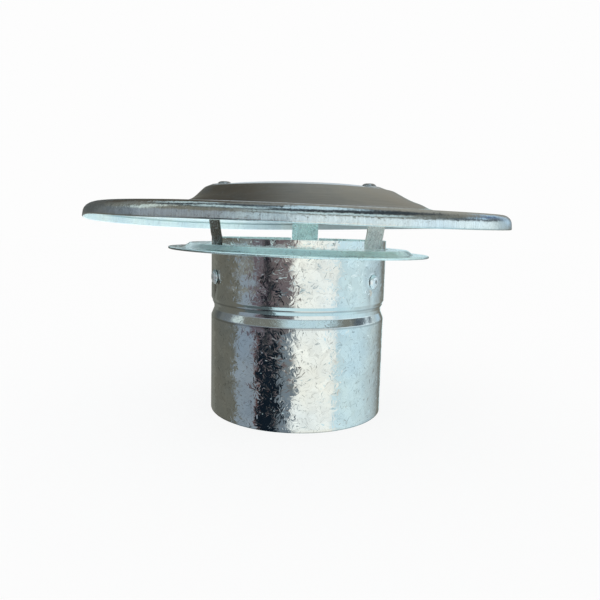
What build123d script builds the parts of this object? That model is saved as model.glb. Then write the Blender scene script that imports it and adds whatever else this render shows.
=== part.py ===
from build123d import *
import os
from math import cos, radians, sin, sqrt, tan

os.makedirs("parts", exist_ok=True)

# Galvanised steel rain cap for a 4 inch flue pipe, all sizes in millimetres.
# +Z is up, the front is -Y, and the origin is the centre of the collar's bottom edge.
# The collar slips down over the pipe until its rolled bead rests on the pipe's end.
# Three strap legs, blind riveted inside the collar, pass out through notches in its
# top edge and carry the cap. A flanged ring is pressed on just below the notches.

# Sheet steel, strap steel and the folded edges
SHEET = 0.55
STRAP = 0.85
HEM_GAP = 0.2
HEM_WIDTH = 2 * SHEET + HEM_GAP
HEM_BEND = 0.49 * HEM_WIDTH

# Collar: a rolled tube with an inward stop bead and a lapped, spot welded seam
PIPE_DIAMETER = 101.6
PIPE_CLEARANCE = 0.35
COLLAR_BORE_R = PIPE_DIAMETER / 2 + PIPE_CLEARANCE
COLLAR_R = COLLAR_BORE_R + SHEET
COLLAR_HEIGHT = 101.6
BEAD_DEPTH = 1.7
BEAD_FOOT_Z = 56.2
BEAD_FLOOR_Z = 60.4
BEAD_BROW_Z = 62.4
BEAD_HEAD_Z = 66.8
BEAD_FOOT_BEND = 2.0
BEAD_FLOOR_BEND = 1.6
BEAD_HEAD_BEND = 1.2
SEAM_HALF_ANGLE = 5.5
SEAM_TAPER_ANGLE = 4.0
WELD_DIAMETER = 4.6
WELD_DEPTH = 0.18
WELD_HEIGHTS = (8.0, 20.0, 32.0, 44.0, 73.0, 84.0)

# Legs: three equal straps, spaced nearly in thirds by eye, as the real ones are.
# Each azimuth is measured from the front towards +X.
LEG_AZIMUTHS = {"leg_left": -64.5, "leg_right": 53.0, "leg_back": 175.5}
LEG_WIDTH = 18.0
LEG_LEAN = 8.0
LEG_FOOT_Z = 69.5
LEG_CURVED_TOP_Z = 97.5
LEG_FLATTENING_LENGTH = 8.0
LEG_FLAT_R = 52.0
LEG_ELBOW_Z = 122.5
LEG_ELBOW_BEND = 3.0
LEG_TAB_R = 50.4
LEG_TAB_BEND = 1.6
LEG_TAB_END_R = 39.5
LEG_CORNER = 2.5
NOTCH_WIDTH = 19.4
NOTCH_FLOOR_Z = 97.0

# Flanged ring: a hat section with a hemmed brim and a neck that grips the collar
RING_R = 76.3
RING_TOP_Z = 97.4
RING_BRIM_Z = 94.8
RING_STEP_INNER_R = 63.2
RING_STEP_OUTER_R = 69.2
RING_STEP_BEND = 4.0
RING_NECK_BEND = 2.0
RING_NECK_FOOT_Z = 93.2
RING_HEM_LENGTH = 4.5
SEAM_RELIEF_WIDTH = 15.0
SEAM_RELIEF_HEIGHT = 12.0

# Cap: a flat plateau, a cone, a slightly sloping brim and a turned-down hemmed lip
CAP_R = 120.65
PLATEAU_Z = 130.7
PLATEAU_R = 51.1
PLATEAU_BEND = 3.0
CONE_SLOPE = 27.0
CONE_FOOT_Z = 118.6
CONE_FOOT_R = PLATEAU_R + (PLATEAU_Z - CONE_FOOT_Z) / tan(radians(CONE_SLOPE))
CONE_FOOT_BEND = 8.0
LIP_TOP_R = 119.9
LIP_TOP_Z = 116.8
LIP_BEND = 3.4
LIP_BOTTOM_Z = 109.3
LIP_HEM_LENGTH = 4.0

# Blind rivets: a flanged sleeve, set by a mandrel whose broken stem stays inside
SHANK_R = 2.0
SLEEVE_BORE_R = 1.1
RIVET_HEAD_R = 4.0
RIVET_RIM = 0.3
RIVET_HEAD_HEIGHT = 1.7
RIVET_CROWN_R = 1.7
BULB_R = 2.9
BULB_LENGTH = 2.6
BULB_ROUNDING = 0.9
MANDREL_HEAD_R = 2.1
MANDREL_HEAD_LENGTH = 1.5
STEM_RECESS = 0.5
CAP_RIVET_R = 46.5
COLLAR_RIVET_Z = 79.5

# Plan angles run from +X, so the front at -Y is at -90 degrees
FRONT_ANGLE = -90.0
LEG_ANGLES = [azimuth + FRONT_ANGLE for azimuth in LEG_AZIMUTHS.values()]
SEAM_AZIMUTH = 235.5
SEAM_ANGLE = SEAM_AZIMUTH + FRONT_ANGLE
NOTCH_DEPTH = COLLAR_HEIGHT - NOTCH_FLOOR_Z
WALL_CUT = 4.0


def collar_outline():
    """The collar's outer line, from its bottom edge up, with the stop bead."""
    return FilletPolyline(
        (COLLAR_R, 0),
        (COLLAR_R, BEAD_FOOT_Z),
        (COLLAR_R - BEAD_DEPTH, BEAD_FLOOR_Z),
        (COLLAR_R - BEAD_DEPTH, BEAD_BROW_Z),
        (COLLAR_R, BEAD_HEAD_Z),
        (COLLAR_R, COLLAR_HEIGHT),
        radius=[BEAD_FOOT_BEND, BEAD_FLOOR_BEND, BEAD_HEAD_BEND, BEAD_HEAD_BEND],
    )


def polar_point(radius, angle):
    """A plan point at a radius, and at an angle in degrees from +X."""
    return (radius * cos(radians(angle)), radius * sin(radians(angle)))


# Lap of the seam: the sheet's outer end lies over its start. One side ends in the
# cut edge, and the other runs smoothly into the wall.
LAP_R = COLLAR_R + SHEET
lap_start = SEAM_ANGLE - SEAM_HALF_ANGLE
lap_end = SEAM_ANGLE + SEAM_HALF_ANGLE
taper_end = lap_end + SEAM_TAPER_ANGLE
with BuildPart() as lap:
    with BuildSketch(Plane.XZ):
        with BuildLine():
            collar_outline()
            offset(amount=SHEET, side=Side.RIGHT)
        make_face()
    revolve(axis=Axis.Z)
    with BuildSketch():
        with BuildLine():
            Line((0, 0), polar_point(LAP_R, lap_start))
            ThreePointArc(
                polar_point(LAP_R, lap_start),
                polar_point(LAP_R, SEAM_ANGLE),
                polar_point(LAP_R, lap_end),
            )
            Line(polar_point(LAP_R, lap_end), polar_point(COLLAR_R, taper_end))
            Line(polar_point(COLLAR_R, taper_end), (0, 0))
        make_face()
    extrude(amount=COLLAR_HEIGHT, mode=Mode.INTERSECT)

# Collar, with a notch and a rivet hole for each leg and the dimples of the spot welds
weld_ball_r = (WELD_DIAMETER**2 / 4 + WELD_DEPTH**2) / (2 * WELD_DEPTH)
with BuildPart() as collar:
    with BuildSketch(Plane.XZ):
        with BuildLine():
            collar_outline()
            offset(amount=SHEET, side=Side.LEFT)
        make_face()
    revolve(axis=Axis.Z)
    add(lap.part)
    for leg_angle in LEG_ANGLES:
        with PolarLocations(COLLAR_R, 1, start_angle=leg_angle):
            with Locations((0, 0, COLLAR_HEIGHT)):
                Box(WALL_CUT, NOTCH_WIDTH, 2 * NOTCH_DEPTH, mode=Mode.SUBTRACT)
            with Locations((0, 0, COLLAR_RIVET_Z)):
                Cylinder(SHANK_R, WALL_CUT, rotation=(0, 90, 0), mode=Mode.SUBTRACT)
    with Locations([(0, 0, height) for height in WELD_HEIGHTS]):
        with PolarLocations(LAP_R + weld_ball_r - WELD_DEPTH, 1, start_angle=SEAM_ANGLE):
            Sphere(weld_ball_r, mode=Mode.SUBTRACT)
collar.part.label = "collar"
export_step(collar.part, "parts/collar.step")

# Flanged ring: neck, plateau, step, brim and the hem folded under its edge
with BuildPart() as storm_ring:
    with BuildSketch(Plane.XZ):
        with BuildLine():
            FilletPolyline(
                (COLLAR_R, RING_NECK_FOOT_Z),
                (COLLAR_R, RING_TOP_Z),
                (RING_STEP_INNER_R, RING_TOP_Z),
                (RING_STEP_OUTER_R, RING_BRIM_Z),
                (RING_R, RING_BRIM_Z),
                (RING_R, RING_BRIM_Z - HEM_WIDTH),
                (RING_R - RING_HEM_LENGTH, RING_BRIM_Z - HEM_WIDTH),
                radius=[RING_NECK_BEND, RING_STEP_BEND, RING_STEP_BEND, HEM_BEND, HEM_BEND],
            )
            offset(amount=SHEET, side=Side.RIGHT)
        make_face()
    revolve(axis=Axis.Z)
    with PolarLocations(COLLAR_R, 1, start_angle=(lap_start + taper_end) / 2):
        with Locations((0, 0, RING_TOP_Z)):
            Box(WALL_CUT, SEAM_RELIEF_WIDTH, SEAM_RELIEF_HEIGHT, mode=Mode.SUBTRACT)
storm_ring.part.label = "storm_ring"
export_step(storm_ring.part, "parts/storm_ring.step")

# Cap: pressed from one disc, with the lip's edge folded up inside it
with BuildPart() as cap_dish:
    with BuildSketch(Plane.XZ):
        with BuildLine():
            FilletPolyline(
                (0, PLATEAU_Z),
                (PLATEAU_R, PLATEAU_Z),
                (CONE_FOOT_R, CONE_FOOT_Z),
                (LIP_TOP_R, LIP_TOP_Z),
                (CAP_R, LIP_BOTTOM_Z),
                (CAP_R - HEM_WIDTH, LIP_BOTTOM_Z),
                (LIP_TOP_R - HEM_WIDTH, LIP_BOTTOM_Z + LIP_HEM_LENGTH),
                radius=[PLATEAU_BEND, CONE_FOOT_BEND, LIP_BEND, HEM_BEND, HEM_BEND],
            )
            offset(amount=SHEET, side=Side.RIGHT)
        make_face()
    revolve(axis=Axis.Z)
    for leg_angle in LEG_ANGLES:
        with PolarLocations(CAP_RIVET_R, 1, start_angle=leg_angle):
            with Locations((0, 0, PLATEAU_Z)):
                Cylinder(SHANK_R, WALL_CUT, mode=Mode.SUBTRACT)
cap_dish.part.label = "cap_dish"
export_step(cap_dish.part, "parts/cap_dish.step")

# One leg, standing towards +X. Its foot follows the collar's bore, then flattens out
# as it leans outward, and an elbow folds it back in to a tab below the plateau.
flat_z = LEG_CURVED_TOP_Z + LEG_FLATTENING_LENGTH * cos(radians(LEG_LEAN))
elbow_r = LEG_FLAT_R + (LEG_ELBOW_Z - flat_z) * tan(radians(LEG_LEAN))
tab_top_z = PLATEAU_Z - SHEET
lean_direction = (sin(radians(LEG_LEAN)), 0, cos(radians(LEG_LEAN)))
across_strap = (cos(radians(LEG_LEAN)), 0, -sin(radians(LEG_LEAN)))
flat_start = Plane(origin=(LEG_FLAT_R, 0, flat_z), x_dir=across_strap, z_dir=lean_direction)


def foot_section():
    """The strap's section where it lies curved against the collar's bore."""
    Circle(COLLAR_BORE_R)
    Circle(COLLAR_BORE_R - STRAP, mode=Mode.SUBTRACT)
    with Locations((COLLAR_BORE_R, 0)):
        Rectangle(WALL_CUT, LEG_WIDTH, mode=Mode.INTERSECT)


with BuildPart() as leg:
    with BuildSketch(Plane.XY.offset(LEG_FOOT_Z)):
        foot_section()
    extrude(amount=LEG_CURVED_TOP_Z - LEG_FOOT_Z)
    foot_corners = leg.edges().filter_by(Axis.X).group_by(Axis.Z)[0]
    fillet(foot_corners, radius=LEG_CORNER)
    with BuildSketch(Plane.XY.offset(LEG_CURVED_TOP_Z)):
        foot_section()
    with BuildSketch(flat_start):
        Rectangle(STRAP, LEG_WIDTH, align=(Align.MAX, Align.CENTER))
    loft()
    with BuildSketch(Plane.XZ):
        with BuildLine():
            FilletPolyline(
                (LEG_FLAT_R, flat_z),
                (elbow_r, LEG_ELBOW_Z),
                (LEG_TAB_R, tab_top_z),
                (LEG_TAB_END_R, tab_top_z),
                radius=[LEG_ELBOW_BEND, LEG_TAB_BEND],
            )
            offset(amount=STRAP, side=Side.LEFT)
        make_face()
    extrude(amount=LEG_WIDTH / 2, both=True)
    tab_corners = leg.edges().filter_by(Axis.Z).group_by(Axis.X)[0]
    fillet(tab_corners, radius=LEG_CORNER)
    with Locations((CAP_RIVET_R, 0, tab_top_z)):
        Cylinder(SHANK_R, WALL_CUT, mode=Mode.SUBTRACT)
    with Locations((COLLAR_BORE_R, 0, COLLAR_RIVET_Z)):
        Cylinder(SHANK_R, WALL_CUT, rotation=(0, 90, 0), mode=Mode.SUBTRACT)

for leg_name, azimuth in LEG_AZIMUTHS.items():
    with BuildPart() as placed_leg:
        add(leg.part, rotation=(0, 0, azimuth + FRONT_ANGLE))
    placed_leg.part.label = leg_name
    export_step(placed_leg.part, f"parts/{leg_name}.step")


def rivet_sleeve(grip):
    """A set sleeve on its own axis: dome above its seat at 0, bulb below the grip."""
    with BuildPart() as sleeve:
        with BuildSketch(Plane.XZ):
            with BuildLine():
                Polyline(
                    (SLEEVE_BORE_R, RIVET_HEAD_HEIGHT),
                    (SLEEVE_BORE_R, -grip - BULB_LENGTH),
                    (SHANK_R, -grip - BULB_LENGTH),
                    (BULB_R, -grip - BULB_LENGTH + BULB_ROUNDING),
                    (BULB_R, -grip),
                    (SHANK_R, -grip),
                    (SHANK_R, 0),
                    (RIVET_HEAD_R, 0),
                    (RIVET_HEAD_R, RIVET_RIM),
                )
                TangentArc(
                    (RIVET_CROWN_R, RIVET_HEAD_HEIGHT), (RIVET_HEAD_R, RIVET_RIM), tangent=(1, 0)
                )
                Line((RIVET_CROWN_R, RIVET_HEAD_HEIGHT), (SLEEVE_BORE_R, RIVET_HEAD_HEIGHT))
            make_face()
        revolve(axis=Axis.Z)
    return sleeve.part


def mandrel(grip):
    """The broken stem inside a sleeve, with its head swelling out below the bulb."""
    with BuildPart() as pin:
        with BuildSketch(Plane.XZ):
            with BuildLine():
                Polyline(
                    (0, -grip - BULB_LENGTH - MANDREL_HEAD_LENGTH),
                    (0, RIVET_HEAD_HEIGHT - STEM_RECESS),
                    (SLEEVE_BORE_R, RIVET_HEAD_HEIGHT - STEM_RECESS),
                    (SLEEVE_BORE_R, -grip - BULB_LENGTH),
                    (MANDREL_HEAD_R, -grip - BULB_LENGTH),
                )
                TangentArc(
                    (0, -grip - BULB_LENGTH - MANDREL_HEAD_LENGTH),
                    (MANDREL_HEAD_R, -grip - BULB_LENGTH),
                    tangent=(1, 0),
                )
            make_face()
        revolve(axis=Axis.Z)
    return pin.part


# The collar's rivets reach a little further, because their bulbs sit inside a curve
cap_grip = SHEET + STRAP
collar_grip = COLLAR_R - sqrt((COLLAR_BORE_R - STRAP) ** 2 - BULB_R**2)
for piece_name, shape in (("rivets", rivet_sleeve), ("rivet_pins", mandrel)):
    cap_piece = shape(cap_grip)
    with BuildPart() as cap_set:
        for leg_angle in LEG_ANGLES:
            with PolarLocations(CAP_RIVET_R, 1, start_angle=leg_angle):
                with Locations((0, 0, PLATEAU_Z)):
                    add(cap_piece)
    cap_set.part.label = "cap_" + piece_name
    export_step(cap_set.part, f"parts/cap_{piece_name}.step")
    collar_piece = shape(collar_grip)
    with BuildPart() as collar_set:
        for leg_angle in LEG_ANGLES:
            with PolarLocations(COLLAR_R, 1, start_angle=leg_angle):
                with Locations((0, 0, COLLAR_RIVET_Z)):
                    add(collar_piece, rotation=(0, 90, 0))
    collar_set.part.label = "collar_" + piece_name
    export_step(collar_set.part, f"parts/collar_{piece_name}.step")
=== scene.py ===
"""Looks of a galvanised chimney rain cap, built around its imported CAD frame.

Lengths are in millimetres until a mesh is made, which is in metres. +Z is up and the
front, where the camera stands, is -Y. Azimuths run from the front towards +X.
"""

from math import cos, pi, radians, sin

import bpy
import numpy as np
from mathutils import Matrix, Vector


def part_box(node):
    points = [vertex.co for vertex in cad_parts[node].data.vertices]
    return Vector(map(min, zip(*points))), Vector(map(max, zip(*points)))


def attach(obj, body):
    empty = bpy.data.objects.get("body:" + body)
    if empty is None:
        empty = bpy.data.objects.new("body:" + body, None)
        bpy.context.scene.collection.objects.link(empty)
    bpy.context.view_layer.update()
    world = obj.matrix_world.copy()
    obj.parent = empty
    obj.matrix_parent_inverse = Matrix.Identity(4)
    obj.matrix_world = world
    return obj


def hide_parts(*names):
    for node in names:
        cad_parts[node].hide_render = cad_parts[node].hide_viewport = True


bl_info = {
    "name": "Galvanised rain cap",
    "version": (1, 0, 0),
    "blender": (4, 5, 0),
    "location": "3D View > Sidebar > Rain cap",
    "description": "Builds the sheets, straps and rivets of a galvanised chimney rain cap",
    "category": "Add Mesh",
}

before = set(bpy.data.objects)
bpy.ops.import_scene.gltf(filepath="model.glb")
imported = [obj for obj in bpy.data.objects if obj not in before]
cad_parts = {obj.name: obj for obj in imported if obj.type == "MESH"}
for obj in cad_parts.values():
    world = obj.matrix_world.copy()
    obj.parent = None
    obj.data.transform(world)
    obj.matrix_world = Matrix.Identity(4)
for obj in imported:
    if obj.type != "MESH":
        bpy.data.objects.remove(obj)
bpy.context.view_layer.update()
MM = 0.001
CAP_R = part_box("cap_dish")[1].x / MM
COLLAR_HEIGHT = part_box("collar")[1].z / MM
RING_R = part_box("storm_ring")[1].x / MM
NECK_FOOT_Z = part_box("storm_ring")[0].z / MM

# Sheet and strap gauges, and the fold of a hem
SHEET = 0.55
STRAP = 0.85
HEM_WIDTH = 1.3
HEM_BEND = 0.637
CUT_EDGE = 0.1
SHARP_ANGLE = 40

# Collar: a rolled tube with an inward stop bead and a lapped seam at the back
COLLAR_BORE_R = 51.15
COLLAR_R = COLLAR_BORE_R + SHEET
BEAD_R = COLLAR_R - 1.7
BEAD_FOOT_Z = 56.2
BEAD_FLOOR_Z = 60.4
BEAD_BROW_Z = 62.4
BEAD_HEAD_Z = 66.8
LEDGE_R = COLLAR_R - 0.75
LEDGE_Z = 64.5
LEDGE_HEIGHT = 0.6
SECOND_BEAD_AZIMUTH = -55
SECOND_BEAD_Z = 76.8
SECOND_BEAD_DEPTH = 0.26
SEAM_AZIMUTH = 235.5
SEAM_HALF_ANGLE = 5.5
SEAM_TAPER_ANGLE = 4.0
WELD_HEIGHTS = (8.0, 20.0, 32.0, 44.0, 73.0, 84.0)
WELD_R = 2.3
WELD_DEPTH = 0.18
NOTCH_WIDTH = 19.4
NOTCH_FLOOR_Z = 97.0
COLLAR_RIVET_Z = 79.5
CREASE_Z = 71.5

# Cap: plateau, cone, brim and lip
PLATEAU_EDGE_R = 46.5
PLATEAU_Z = 130.7
PLATEAU_CROWN = 0.25
CONE_HEAD_R = 55.6
CONE_HEAD_Z = 129.25
CONE_FOOT_R = 74.85
CONE_FOOT_Z = 118.6
LIP_TOP_R = 119.9
LIP_TOP_Z = 116.8
LIP_BOTTOM_Z = 109.3
LIP_HEM_LENGTH = 4.0
CAP_RIVET_R = 46.5
HEM_ROWS = 14

# Where the cap's flanks swell, are dented or flare, and how far its lip flares
LEFT_FLANK_AZIMUTH = -82
RIGHT_FLANK_AZIMUTH = 80
HEAD_SWELL_R = 55
FOOT_SWELL_R = 73
DENT_R = 64
WAVE_START_R = 66
FLARE_AZIMUTH = -57
FLARE_LIFT = 1.3
FLARE_REACH = 0.6

# Ring: neck, plateau, step and hemmed brim
RING_TOP_Z = 97.4
RING_BRIM_Z = 94.8
RING_STEP_INNER_R = 64.2
RING_STEP_OUTER_R = 67.8
RING_HEM_LENGTH = 4.5

# Legs
LEG_AZIMUTHS = {"leg_left": -64.5, "leg_right": 53.0, "leg_back": 175.5}
LEG_WIDTH = 18.0
LEG_CORNER = 2.5
LEG_FOOT_Z = 69.5
LEG_CURVED_TOP_Z = 97.5
LEG_FLAT_R = 52.0
LEG_FLAT_Z = 105.42
LEG_ELBOW_R = 54.4
LEG_ELBOW_Z = 122.5
LEG_TAB_R = 50.4
LEG_TAB_END_R = 39.5
LEG_EDGE_R = 0.28

# Fineness of the zinc's needles, blooms and specks, in cells to the mm
NEEDLE_ALONG = 0.22
NEEDLE_ACROSS = 1.5
BLOOM_FINENESS = 0.028
SPECK_FINENESS = 1.3

# Camera, as fitted to the photograph: its stand, aim and lens
CAMERA_STAND = (0.0, -0.325, 0.10573)
CAMERA_YAW = 0.0045
CAMERA_PITCH = 0.126
CAMERA_ROLL = 0.0244
CAMERA_LENS = 32.34
CAMERA_SENSOR = 36.0


def srgb(red, green, blue):
    """A linear colour from red, green and blue on a screen, each 0 to 255."""
    screen = np.array([red, green, blue]) / 255
    linear = np.where(screen > 0.04045, ((screen + 0.055) / 1.055) ** 2.4, screen / 12.92)
    return (*(float(c) for c in linear), 1.0)


class RainCapSizes(bpy.types.PropertyGroup):
    """Sizes that give the pressed sheets their small faults."""

    rim_wave: bpy.props.FloatProperty(
        name="Rim wave",
        description="Height of the slow wave that the cap's rim stands in",
        default=1.3 * MM,
        unit="LENGTH",
    )
    rim_shift: bpy.props.FloatProperty(
        name="Rim shift",
        description="How far the cap's rim stands to the left of the collar's axis",
        default=1.1 * MM,
        unit="LENGTH",
    )
    cone_bulge: bpy.props.FloatProperty(
        name="Cone bulge",
        description="How far the cone's flanks swell, and two thirds of its dent's depth",
        default=1.6 * MM,
        unit="LENGTH",
    )
    ring_tilt: bpy.props.FloatProperty(
        name="Ring tilt",
        description="How far the storm ring's left edge stands above its right one",
        default=2.4 * MM,
        unit="LENGTH",
    )
    dent_depth: bpy.props.FloatProperty(
        name="Rivet dents",
        description="How far each collar rivet pulls the wall in",
        default=0.8 * MM,
        unit="LENGTH",
    )
    wall_wave: bpy.props.FloatProperty(
        name="Wall wave",
        description="Height of the slow waves left in the rolled wall",
        default=0.08 * MM,
        unit="LENGTH",
    )
    spangle_size: bpy.props.FloatProperty(
        name="Spangle size",
        description="Breadth of one zinc grain on the collar",
        default=9.0 * MM,
        unit="LENGTH",
    )


class RainCapColours(bpy.types.PropertyGroup):
    """Colours of the zinc on each kind of piece. The three straps' colours are lit and shaded
    copies of one zinc.
    """

    cap: bpy.props.FloatVectorProperty(
        name="Cap",
        description="Zinc on the pressed cap",
        default=(0.86, 0.885, 0.895, 1),
        size=4,
        subtype="COLOR",
    )
    collar: bpy.props.FloatVectorProperty(
        name="Collar",
        description="Bright zinc on the rolled collar",
        default=(0.96, 0.965, 0.96, 1),
        size=4,
        subtype="COLOR",
    )
    ring: bpy.props.FloatVectorProperty(
        name="Ring",
        description="Duller zinc on the storm ring",
        default=(0.83, 0.955, 0.975, 1),
        size=4,
        subtype="COLOR",
    )
    underside: bpy.props.FloatVectorProperty(
        name="Underside",
        description="Pale zinc under the cap and in the collar's bore",
        default=(0.87, 1.0, 1.0, 1),
        size=4,
        subtype="COLOR",
    )
    # The three straps are one zinc, and their colours are lit and shaded copies of it: painted
    # shade on the left strap, painted light on the back strap under the cap, and a lighter grey on
    # the right strap.
    leg_left: bpy.props.FloatVectorProperty(
        name="Left strap",
        description="Dark zinc on the left strap leg",
        default=(0.115, 0.105, 0.09, 1),
        size=4,
        subtype="COLOR",
    )
    leg_right: bpy.props.FloatVectorProperty(
        name="Right strap",
        description="Grey zinc on the right strap leg",
        default=(0.78, 0.76, 0.72, 1),
        size=4,
        subtype="COLOR",
    )
    leg_back: bpy.props.FloatVectorProperty(
        name="Back strap",
        description="Bluish zinc on the back strap leg",
        default=(0.84, 1.0, 1.0, 1),
        size=4,
        subtype="COLOR",
    )


def add_object(name, data):
    """An object with this data, linked into the scene."""
    made = bpy.data.objects.new(name, data)
    bpy.context.scene.collection.objects.link(made)
    return made


# Shader nodes


def new_material(name):
    """A new material, with its node tree and its shader."""
    material = bpy.data.materials.new(name)
    material.use_nodes = True
    tree = material.node_tree
    return material, tree, tree.nodes["Principled BSDF"]


def feed(tree, socket, value):
    """Links value into a socket if it is a socket too, and otherwise sets it."""
    if isinstance(value, bpy.types.NodeSocket):
        tree.links.new(value, socket)
    elif value is not None:
        socket.default_value = value


def calc(tree, operation, *values):
    """The result of one Math node."""
    made = tree.nodes.new("ShaderNodeMath")
    made.operation = operation
    for socket, value in zip(made.inputs, values):
        feed(tree, socket, value)
    return made.outputs[0]


def total(tree, *values):
    """The sum of several values."""
    result = values[0]
    for value in values[1:]:
        result = calc(tree, "ADD", result, value)
    return result


def product(tree, *values):
    """The product of several values."""
    result = values[0]
    for value in values[1:]:
        result = calc(tree, "MULTIPLY", result, value)
    return result


def vector_calc(tree, operation, *values, result="Vector", scale=None):
    """The result of one Vector Math node."""
    made = tree.nodes.new("ShaderNodeVectorMath")
    made.operation = operation
    for socket, value in zip(made.inputs, values):
        feed(tree, socket, value)
    if scale is not None:
        feed(tree, made.inputs["Scale"], scale)
    return made.outputs[result]


def span(tree, value, low, high, to_low=0.0, to_high=1.0):
    """Value carried smoothly and clamped from low..high to to_low..to_high."""
    made = tree.nodes.new("ShaderNodeMapRange")
    made.interpolation_type = "SMOOTHSTEP"
    for socket, number in zip(made.inputs, (value, low, high, to_low, to_high)):
        feed(tree, socket, number)
    return made.outputs[0]


def blend(tree, share, first, second, way="MIX"):
    """Two colours mixed by share."""
    made = tree.nodes.new("ShaderNodeMix")
    made.data_type = "RGBA"
    made.blend_type = way
    feed(tree, made.inputs[0], share)
    feed(tree, made.inputs[6], first)
    feed(tree, made.inputs[7], second)
    return made.outputs[2]


def noise(tree, vector, scale, detail=2.0, roughness=0.5, dimensions="3D", result=0):
    """One Noise texture: its value, or its colour where result is 1."""
    made = tree.nodes.new("ShaderNodeTexNoise")
    made.noise_dimensions = dimensions
    feed(tree, made.inputs["Vector"], vector)
    made.inputs["Scale"].default_value = scale
    made.inputs["Detail"].default_value = detail
    made.inputs["Roughness"].default_value = roughness
    return made.outputs[result]


def add_bump(tree, shader, height, depth, facing=None):
    """Bumps on a shader, where a height of 1 stands out by depth in mm."""
    bump = tree.nodes.new("ShaderNodeBump")
    feed(tree, bump.inputs["Distance"], depth * MM)
    feed(tree, bump.inputs["Height"], height)
    feed(tree, bump.inputs["Normal"], facing)
    tree.links.new(bump.outputs[0], shader.inputs["Normal"])


def parts_of(tree, vector):
    """The X, Y and Z of a vector."""
    made = tree.nodes.new("ShaderNodeSeparateXYZ")
    feed(tree, made.inputs[0], vector)
    return made.outputs


def vector_of(tree, x, y, z=0.0):
    """A vector from X, Y and Z."""
    made = tree.nodes.new("ShaderNodeCombineXYZ")
    for socket, value in zip(made.inputs, (x, y, z)):
        feed(tree, socket, value)
    return made.outputs[0]


# Zinc


def spangle(tree, place, grain):
    """Zinc crystals on place, a flat vector in mm, with grains about grain mm across.

    Each grain is a cell round its own seed. Six arms leave the seed 60 degrees apart,
    and every sixth of the grain is filled with fine straight needles. In some grains
    they lie along the arm, and in the others they branch from it at 60 degrees. A needle
    is noise that is drawn out along it, and it leans the sheet across itself. Returns
    the grain's tone, the arm's shade and how steep the needle is, and as slopes in
    the sheet's plane the leans of the grain, the arm and the needle.
    """
    wobble = noise(tree, place, 0.35, 2, dimensions="2D", result=1)
    wobble = vector_calc(tree, "SUBTRACT", wobble, (0.5, 0.5, 0.5))
    bent = vector_calc(tree, "ADD", place, vector_calc(tree, "SCALE", wobble, scale=grain * 0.3))
    spot = vector_calc(tree, "SCALE", bent, scale=1 / grain)
    cells = tree.nodes.new("ShaderNodeTexVoronoi")
    cells.voronoi_dimensions = "2D"
    cells.inputs["Scale"].default_value = 1.0
    feed(tree, cells.inputs["Vector"], spot)
    random = parts_of(tree, cells.outputs["Color"])
    offset = vector_calc(tree, "SUBTRACT", spot, cells.outputs["Position"])
    offset = parts_of(tree, vector_calc(tree, "SCALE", offset, scale=grain))
    turn = calc(tree, "ARCTAN2", offset[1], offset[0])
    start = product(tree, random[0], 6)
    sixth = pi / 3
    arm = total(tree, calc(tree, "DIVIDE", turn, sixth), start)
    arm_number = calc(tree, "ROUND", arm)
    side = calc(tree, "SIGN", calc(tree, "SUBTRACT", arm, arm_number))
    branched = calc(tree, "GREATER_THAN", random[1], 0.4)
    way = total(tree, calc(tree, "SUBTRACT", arm_number, start), product(tree, branched, side))
    way = product(tree, way, sixth)
    ahead, beside = calc(tree, "COSINE", way), calc(tree, "SINE", way)
    along = total(tree, product(tree, offset[0], ahead), product(tree, offset[1], beside))
    across = calc(
        tree, "SUBTRACT", product(tree, offset[1], ahead), product(tree, offset[0], beside)
    )
    seed = total(tree, product(tree, random[2], 90), product(tree, arm_number, 7.3))
    along, across = product(tree, along, NEEDLE_ALONG), product(tree, across, NEEDLE_ACROSS)
    lines = vector_of(tree, along, across, seed)
    needle = calc(tree, "SUBTRACT", noise(tree, lines, 1.0, 1, 0.5), 0.5)
    size = calc(tree, "ABSOLUTE", needle)
    steep = product(tree, needle, total(tree, product(tree, size, 12), 1.0))
    facet = tree.nodes.new("ShaderNodeTexWhiteNoise")
    facet.noise_dimensions = "2D"
    feed(tree, facet.inputs["Vector"], vector_of(tree, arm_number, random[2]))
    middle = (0.5, 0.5, 0.5)
    return {
        "tone": random[2],
        "facet": facet.outputs["Value"],
        "steep": steep,
        "grain_lean": vector_calc(tree, "SUBTRACT", cells.outputs["Color"], middle),
        "arm_lean": vector_calc(tree, "SUBTRACT", facet.outputs["Color"], middle),
        "needle_lean": vector_of(
            tree, product(tree, steep, beside, -1.0), product(tree, steep, ahead)
        ),
    }


def work_lines(tree, place, rim):
    """Fine lines left by the making: noise that is drawn out along them.

    On a strap or rolled sheet they run lengthways. On a round sheet, with rim given,
    they run round it up to that reach from the centre in mm, and down it beyond.
    """
    across = parts_of(tree, place)
    if rim is None:
        lengthways = vector_of(tree, product(tree, across[0], 2.4), product(tree, across[1], 0.05))
        return noise(tree, lengthways, 1.0, 4, 0.65, "2D")
    reach = vector_calc(tree, "LENGTH", place, result="Value")
    outward = parts_of(tree, vector_calc(tree, "NORMALIZE", place))
    spun = vector_of(
        tree, product(tree, outward[0], 3), product(tree, outward[1], 3), product(tree, reach, 1.6)
    )
    fine = vector_calc(tree, "SCALE", vector_of(tree, outward[0], outward[1]), scale=150)
    down = vector_calc(tree, "ADD", fine, vector_of(tree, 0, 0, product(tree, reach, 0.12)))
    beyond = span(tree, reach, rim - 1.5, rim + 1.5)
    spun, down = noise(tree, spun, 1.0, 4, 0.65), noise(tree, down, 1.0, 4, 0.65)
    return total(tree, spun, product(tree, beyond, calc(tree, "SUBTRACT", down, spun)))


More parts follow.
